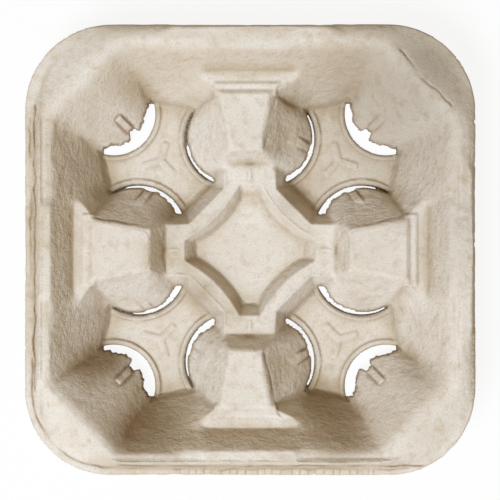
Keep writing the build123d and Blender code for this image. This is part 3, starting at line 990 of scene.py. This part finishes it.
relief.links.new(wrinkle_y, choose.inputs["A"])
relief.links.new(wrinkle_x, choose.inputs["B"])
wrinkles = arithmetic(relief, "MULTIPLY", choose.outputs["Result"], relief_in.outputs["Wall"])
wrinkles = arithmetic(relief, "MULTIPLY", wrinkles, 1.9)
split = relief.nodes.new("ShaderNodeSeparateXYZ")
relief.links.new(place, split.inputs[0])
wire_spacing = 1.1 * MM
wires = []
for label in ("X", "Y"):
    turn = arithmetic(relief, "MULTIPLY", split.outputs[label], 2 * math.pi / wire_spacing)
    wires.append(arithmetic(relief, "SINE", turn, 0))
weave = arithmetic(relief, "MULTIPLY", wires[0], wires[1])
imprint = arithmetic(relief, "MULTIPLY", weave, relief_in.outputs["Below"])
imprint = arithmetic(relief, "MULTIPLY", imprint, 0.25)
height = arithmetic(relief, "ADD", arithmetic(relief, "ADD", felt, wrinkles), imprint)
relief.links.new(height, relief_out.inputs["Height"])
print("node group", relief.name)

# %% [markdown]
# ## The fibre material
#
# One rough, nearly lustreless shader takes the mottled colour, the browned edges and the relief.
# The masks painted on the mesh say how much of each effect a place gets.

# %% The fibre material
fibre = bpy.data.materials.new("moulded_fibre")
fibre.use_nodes = True
nodes, links = fibre.node_tree.nodes, fibre.node_tree.links
shader = nodes["Principled BSDF"]
shader.inputs["Roughness"].default_value = 0.95
shader.inputs["Specular IOR Level"].default_value = 0.12
here = nodes.new("ShaderNodeTexCoord").outputs["Object"]


def mask_output(name):
    """A painted mask as a socket."""
    node = nodes.new("ShaderNodeAttribute")
    node.attribute_name = name
    return node.outputs["Fac"]


def placed_group(group, inputs):
    """A group placed in the material with its inputs linked."""
    node = nodes.new("ShaderNodeGroup")
    node.node_tree = group
    for label, source in inputs.items():
        links.new(source, node.inputs[label])
    return node


tints = {name.capitalize(): mask_output(name) for name in ("tan_and_shade", "fold_shade", "stain_and_shade", "grey_shade")}
mottled = placed_group(mottle, {"Vector": here, **tints})
edges = {name.capitalize(): mask_output(name) for name in ("torn", "crease", "cut_shadow")}
edged = placed_group(browned, {"Vector": here, "Color": mottled.outputs["Color"], **edges})
sides = {name.capitalize(): mask_output(name) for name in ("wall", "below")}
sides["Facing X"] = mask_output("facing_x")
felted = placed_group(relief, {"Vector": here, **sides})
relief_height = 0.5 * MM
bump = nodes.new("ShaderNodeBump")
bump.inputs["Strength"].default_value = 1.0
bump.inputs["Distance"].default_value = relief_height
links.new(edged.outputs["Color"], shader.inputs["Base Color"])
links.new(felted.outputs["Height"], bump.inputs["Height"])
links.new(bump.outputs["Normal"], shader.inputs["Normal"])
skin_mesh.materials.clear()
skin_mesh.materials.append(fibre)
print("material", fibre.name)

# %% [markdown]
# ## Table
#
# The tray lies on a plain pale table. The table looks nearly white to the camera, and through the
# slots, and it still takes the soft shadow of the tray.

# %% Table
table_reach = 3
table = bpy.data.meshes.new("table")
board = bmesh.new()
bmesh.ops.create_grid(board, x_segments=1, y_segments=1, size=table_reach)
board.to_mesh(table)
board.free()
floor = bpy.data.objects.new("table", table)
bpy.context.collection.objects.link(floor)


def seen_directly(tree, share):
    """The share for rays that show a surface: from the camera, mirrored or passed through."""
    path = tree.nodes.new("ShaderNodeLightPath")
    seen = arithmetic(tree, "MAXIMUM", path.outputs["Is Camera Ray"], path.outputs["Is Glossy Ray"])
    seen = arithmetic(tree, "MAXIMUM", seen, path.outputs["Is Transmission Ray"])
    return arithmetic(tree, "MULTIPLY", seen, share)


cloth = bpy.data.materials.new("pale_table")
cloth.use_nodes = True
nodes, links = cloth.node_tree.nodes, cloth.node_tree.links
plain = nodes["Principled BSDF"]
plain.inputs["Base Color"].default_value = (0.86, 0.86, 0.86, 1)
plain.inputs["Roughness"].default_value = 0.9
plain.inputs["Specular IOR Level"].default_value = 0.1
glow = nodes.new("ShaderNodeEmission")
blend = nodes.new("ShaderNodeMixShader")
links.new(seen_directly(cloth.node_tree, 0.9), blend.inputs[0])
links.new(plain.outputs[0], blend.inputs[1])
links.new(glow.outputs[0], blend.inputs[2])
links.new(blend.outputs[0], nodes["Material Output"].inputs["Surface"])
table.materials.append(cloth)
print("table ready")

# %% [markdown]
# ## Light
#
# One broad round lamp stands off to the lower left, high up, and a warm weak sky fills the shade.
# The lamp is near enough that the far corner of the tray gets a little less of it.

# %% Light
world = bpy.data.worlds.new("studio")
bpy.context.scene.world = world
world.use_nodes = True
nodes, links = world.node_tree.nodes, world.node_tree.links
sky = nodes["Background"]
sky.inputs["Color"].default_value = (1.0, 0.72, 0.28, 1)
sky.inputs["Strength"].default_value = 0.29
white = nodes.new("ShaderNodeBackground")
choose = nodes.new("ShaderNodeMixShader")
links.new(seen_directly(world.node_tree, 1.0), choose.inputs[0])
links.new(sky.outputs[0], choose.inputs[1])
links.new(white.outputs[0], choose.inputs[2])
links.new(choose.outputs[0], nodes["World Output"].inputs["Surface"])

lamp_distance = 2.3
lamp_heading = Vector((-0.27, -0.365, 0.89)).normalized()
lamp = bpy.data.lights.new("window_light", "AREA")
lamp.shape = "DISK"
lamp.size = 0.98
lamp.color = (0.795, 0.89, 1.0)
lamp.energy = 56.0
window = bpy.data.objects.new("window_light", lamp)
window.location = lamp_heading * lamp_distance
window.rotation_euler = lamp_heading.to_track_quat("Z", "Y").to_euler()
window.visible_camera = False
bpy.context.collection.objects.link(window)
print("light ready")

# %% [markdown]
# ## Camera
#
# The photograph looks straight down from high above, so the lens is long. Its length comes from
# the scale measured at the level of the rim.

# %% Camera
eye = bpy.data.cameras.new("overhead")
eye.sensor_width = 36
camera_height = 1.1
picture_pixels = 500
pixels_per_mm = 2.083
rim_level = 0.035
eye.lens = pixels_per_mm * (camera_height - rim_level) / MM * eye.sensor_width / picture_pixels
camera = bpy.data.objects.new("overhead", eye)
camera.location = (0, 0, camera_height)
bpy.context.collection.objects.link(camera)
bpy.context.scene.camera = camera
bpy.context.scene.view_settings.view_transform = "Standard"
print("lens in mm", round(eye.lens, 1))
